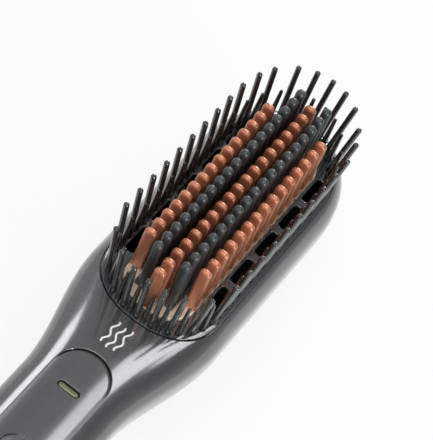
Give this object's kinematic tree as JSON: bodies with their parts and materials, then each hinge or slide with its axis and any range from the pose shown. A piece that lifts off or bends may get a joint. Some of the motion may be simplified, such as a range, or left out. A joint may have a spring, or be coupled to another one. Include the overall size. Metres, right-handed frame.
{
  "type": "hot air styling comb",
  "caption": "Straight-handled hot air comb with a block of copper and black teeth on a heated plate, a ring of black pins, a control panel and a turning cord gland.",
  "frame": {"origin": "under the middle of the whole object's box, on the surface that its back lies on", "axes": "+X to the tip of the head, +Z the way the teeth point, +Y to complete the frame"},
  "size_m": [0.31, 0.05, 0.058],
  "materials": {
    "shell": "gunmetal lacquer with fine flake over moulded plastic",
    "gloss_black": "polished black moulding",
    "champagne_metal": "champagne anodised",
    "copper_metal": "copper-coloured satin anodising",
    "cool_plastic": "matte heat-proof moulding, bluish grey",
    "panel_gloss": "gunmetal lacquer, glossier than the shell",
    "lens": "clear light pipe with a yellow-green tint",
    "button_plastic": "dark gunmetal lacquer",
    "dark_plastic": "finely textured black moulding",
    "filter_foam": "open dust gauze",
    "steel": "plain steel",
    "duct_plastic": "plain heat-proof moulding",
    "rubber": "soft mounting rubber",
    "impeller_plastic": "plain pale moulding",
    "winding": "enamelled copper winding",
    "rotor_iron": "ground magnet",
    "bronze": "sintered bronze or plated brass",
    "mica": "pressed mica sheet",
    "heater_wire": "resistance wire",
    "ceramic_white": "white ceramic or resin",
    "heater_aluminium": "plain extrusion",
    "insulator_film": "amber film",
    "frame_plastic": "black heat-proof moulding",
    "board_green": "solder mask",
    "part_black": "moulded component bodies",
    "module_blue": "potted module"
  },
  "bodies": {
    "housing": {"upper_housing": "shell", "lower_housing": "shell", "brush_plate": "gloss_black", "pin_frame": "gloss_black", "heating_plate": "champagne_metal", "copper_comb_middle": "copper_metal", "copper_comb_left": "copper_metal", "copper_comb_right": "copper_metal", "cool_comb_left": "cool_plastic", "cool_comb_right": "cool_plastic", "control_panel": "panel_gloss", "indicator_lens": "lens", "intake_grille": "dark_plastic", "dust_filter": "filter_foam", "blower_shroud": "duct_plastic", "blower_rings": "rubber", "motor_can": "steel", "motor_cap": "duct_plastic", "motor_stator": "winding", "motor_bearings": "bronze", "air_duct": "duct_plastic", "heater_tube": "mica", "mica_cross": "mica", "heater_coil": "heater_wire", "thermal_cutout": "ceramic_white", "thermal_fuse": "ceramic_white", "ptc_heater": "heater_aluminium", "heater_insulator": "insulator_film", "heater_frame": "frame_plastic", "temperature_sensor": "bronze", "control_pcb": "board_green", "tact_switches": "part_black", "indicator_led": "ceramic_white", "pcb_parts": "part_black", "ion_module": "module_blue", "ion_needles": "bronze", "housing_screws": "steel", "heater_screws": "steel", "pcb_screws": "steel"},
    "power_button": {"power_button": "button_plastic"},
    "heat_button": {"heat_button": "button_plastic"},
    "cool_button": {"cool_button": "button_plastic"},
    "rotor": {"impeller": "impeller_plastic", "motor_shaft": "steel", "motor_rotor": "rotor_iron"},
    "swivel": {"cord_swivel": "dark_plastic", "swivel_clip": "steel"},
    "loop": {"hanging_loop": "dark_plastic"}
  },
  "joints": [
    {"name": "power_press", "type": "slide", "parent": "housing", "child": "power_button", "axis": [0, 0, -1], "range_m": [0, 0.0005], "stiffness_N_per_m": 1500, "springref_m": -0.0002},
    {"name": "heat_press", "type": "slide", "parent": "housing", "child": "heat_button", "axis": [0, 0, -1], "range_m": [0, 0.0005], "stiffness_N_per_m": 1500, "springref_m": -0.0002},
    {"name": "cool_press", "type": "slide", "parent": "housing", "child": "cool_button", "axis": [0, 0, -1], "range_m": [0, 0.0005], "stiffness_N_per_m": 1500, "springref_m": -0.0002},
    {"name": "fan_spin", "type": "hinge", "parent": "housing", "child": "rotor", "pos_m": [-0.105, 0, 0.0144], "axis": [1, 0, 0], "continuous": true},
    {"name": "gland_turn", "type": "hinge", "parent": "housing", "child": "swivel", "pos_m": [-0.142, 0, 0.017], "axis": [1, 0, 0], "continuous": true},
    {"name": "loop_swing", "type": "hinge", "parent": "swivel", "child": "loop", "pos_m": [-0.151, 0, 0.017], "axis": [0, 1, 0], "range_deg": [0, 180]}
  ]
}
